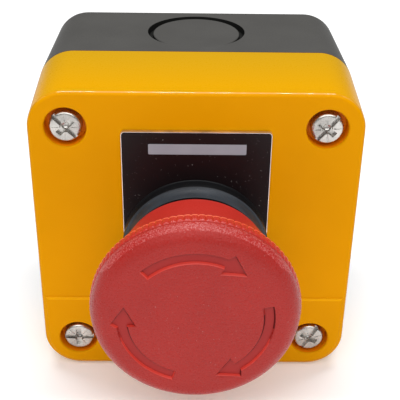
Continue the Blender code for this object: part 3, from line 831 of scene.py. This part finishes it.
def arrow_tool(start):
    """A cutter whose walls lean out and open with a small radius at the surface."""
    mesh = bmesh.new()
    loops = []
    for height, grow in ((-0.48, -0.22), (-0.08, -0.06), (0.02, 0.03), (0.045, 0.09), (0.5, 0.3)):
        outline = arrow_outline(start, grow)
        loops.append([mesh.verts.new((x, forward(HEAD_FRONT + height), z)) for x, z in outline])
    for lower, upper in zip(loops, loops[1:]):
        bridge(mesh, lower, upper)
    mesh.faces.new(loops[0])
    mesh.faces.new(loops[-1])
    return new_object("arrow_tool", mesh)


def in_arrow(middle):
    height = -middle.y - BOX_DEPTH
    return HEAD_FRONT - 0.6 < height < HEAD_FRONT + 0.06 and 10.5 < hypot(middle.x, middle.z) < 16.6


def on_arrow_floor(middle, normal):
    return in_arrow(middle) and -middle.y - BOX_DEPTH < HEAD_FRONT - 0.3


def on_lower_wall(middle, normal):
    return in_arrow(middle) and -normal.y < 0.93 and normal.z > 0.25


def on_upper_wall(middle, normal):
    return in_arrow(middle) and -normal.y < 0.93 and normal.z < 0.1


def on_skirt(middle, normal):
    height = -middle.y - BOX_DEPTH
    return height < RIB_REAR and hypot(middle.x, middle.z) > SKIRT_RADIUS - 0.05


def on_ribs(middle, normal):
    height = -middle.y - BOX_DEPTH
    return RIB_REAR <= height < 24.95 and hypot(middle.x, middle.z) > BODY_RADIUS - 0.1


def on_rear_edge(middle, normal):
    height = -middle.y - BOX_DEPTH
    return RIB_REAR - 0.15 < height < RIB_REAR + 0.3 and hypot(middle.x, middle.z) > BODY_RADIUS - 0.3


def on_fillet(middle, normal):
    """The upper part of the rounded edge between the ribs and the face."""
    height = -middle.y - BOX_DEPTH
    turned_up = normal.z > 0.45 and 0.05 < -normal.y < 0.66
    outside = hypot(middle.x, middle.z) > BODY_RADIUS - FILLET + 0.1
    return turned_up and outside and height >= 24.95


def make_cap():
    cap = new_object("head_moulding", cap_mesh(), 50.0)
    for number in range(ARROWS):
        boolean(cap, arrow_tool(ARROW_START - 360.0 / ARROWS * number))
    settle(cap, 40.0)
    # Painted light and shade on the head: lit lower and shaded upper arrow walls, shaded arrow floors, a
    # highlight line at the rim's rear edge, brighter skirt and ribs, and highlight specks on the upper
    # rounded edge.
    paint(cap, RED, (LIT_RED, on_lower_wall), (SHADE_RED, on_upper_wall), (ARROW_FLOOR_PAINTED_SHADE, on_arrow_floor),
          (REAR_EDGE_PAINTED_HIGHLIGHT, on_rear_edge), (SKIRT_PAINTED_LIGHT, on_skirt), (RIBS_PAINTED_LIGHT, on_ribs), (FILLET_PAINTED_HIGHLIGHT, on_fillet))
    dress(cap, RED, "head", "red_plastic", "mushroom_cap")


# ---------------------------------------------------------------- inner CAD nodes

INNER_FINISH = {
    "cover_seal": RUBBER, "panel_gasket": RUBBER, "locking_nut": RING_BLACK, "mounting_collar": GREY,
    "collar_screw_1": ZINC, "collar_screw_2": ZINC, "cam_shaft": ACETAL, "retaining_clip": STEEL,
    "plunger_sleeve": ACETAL, "latch_pin_1": ZINC, "latch_pin_2": ZINC, "return_spring": STEEL,
    "twist_spring": STEEL, "nc_plunger": CRIMSON, "no_plunger": GREEN,
}


def dress_inner_nodes():
    finishes = dict(INNER_FINISH)
    for prefix in ("nc", "no"):
        finishes[prefix + "_housing"] = BLOCK
        finishes[prefix + "_bridge"] = BRASS
        finishes[prefix + "_spring"] = STEEL
        for number in ("1", "2"):
            finishes[prefix + "_terminal_" + number] = BRASS
            finishes[prefix + "_terminal_screw_" + number] = ZINC
    for node, material in finishes.items():
        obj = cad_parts[node]
        obj.data.materials.clear()
        obj.data.materials.append(material)


# ---------------------------------------------------------------- stage, lights, camera

def make_stage():
    mesh = bmesh.new()
    bmesh.ops.create_grid(mesh, x_segments=1, y_segments=1, size=9000.0)
    floor = new_object("floor", mesh)
    floor.location.z = cad_bounds[0][2]
    n = Nodes("pale_floor")
    tone = n.ramp(n.noise(8.0, 2.0), 0.3, 0.7, 0.0, 1.0)
    n.link(n.mix(tone, (0.94, 0.94, 0.94), (0.955, 0.955, 0.955)), n.shader.inputs["Base Color"])
    n.set(Roughness=0.9, Emission_Color=(1.0, 1.0, 1.0, 1.0), Emission_Strength=0.12)
    floor.data.materials.append(n.material)


def area_light(name, place, target, size, power):
    data = bpy.data.lights.new(name, "AREA")
    data.shape = "RECTANGLE"
    data.size, data.size_y = size
    data.energy = power
    light = bpy.data.objects.new(name, data)
    bpy.context.scene.collection.objects.link(light)
    light.location = place
    light.rotation_euler = (Vector(target) - Vector(place)).to_track_quat("-Z", "Y").to_euler()


def make_lights():
    world = bpy.data.worlds.new("studio")
    world.use_nodes = True
    world.node_tree.nodes["Background"].inputs["Color"].default_value = (1.0, 1.0, 1.0, 1.0)
    world.node_tree.nodes["Background"].inputs["Strength"].default_value = 0.18
    bpy.context.scene.world = world
    area_light("overhead", (0.0, 0.24, 1.38), (0.0, -0.05, 0.0), (1.2, 0.18), 14.2)
    area_light("front", (0.0, -1.06, 1.25), (0.0, -0.06, 0.0), (2.2, 1.2), 23.5)


def make_camera():
    yaw = radians(0.832)
    pitch = radians(-29.895)
    roll = radians(0.843)
    ahead = Vector((sin(yaw) * cos(pitch), cos(yaw) * cos(pitch), sin(pitch)))
    right = Vector((cos(yaw), -sin(yaw), 0.0))
    up = right.cross(ahead)
    turned_right = right * cos(roll) + up * sin(roll)
    turned_up = up * cos(roll) - right * sin(roll)
    data = bpy.data.cameras.new("camera")
    data.lens = 80.41
    data.sensor_width = 36.0
    data.clip_start = 0.01
    camera = bpy.data.objects.new("camera", data)
    bpy.context.scene.collection.objects.link(camera)
    matrix = Matrix((turned_right, turned_up, -ahead)).transposed().to_4x4()
    matrix.translation = Vector((-1.45, -211.875, 102.996)) * MM
    camera.matrix_world = matrix
    bpy.context.scene.camera = camera


make_base()
make_cover()
make_screws()
make_plate()
make_bezel()
make_cap()
dress_inner_nodes()
make_stage()
make_lights()
make_camera()
bpy.context.scene.view_settings.view_transform = "Standard"
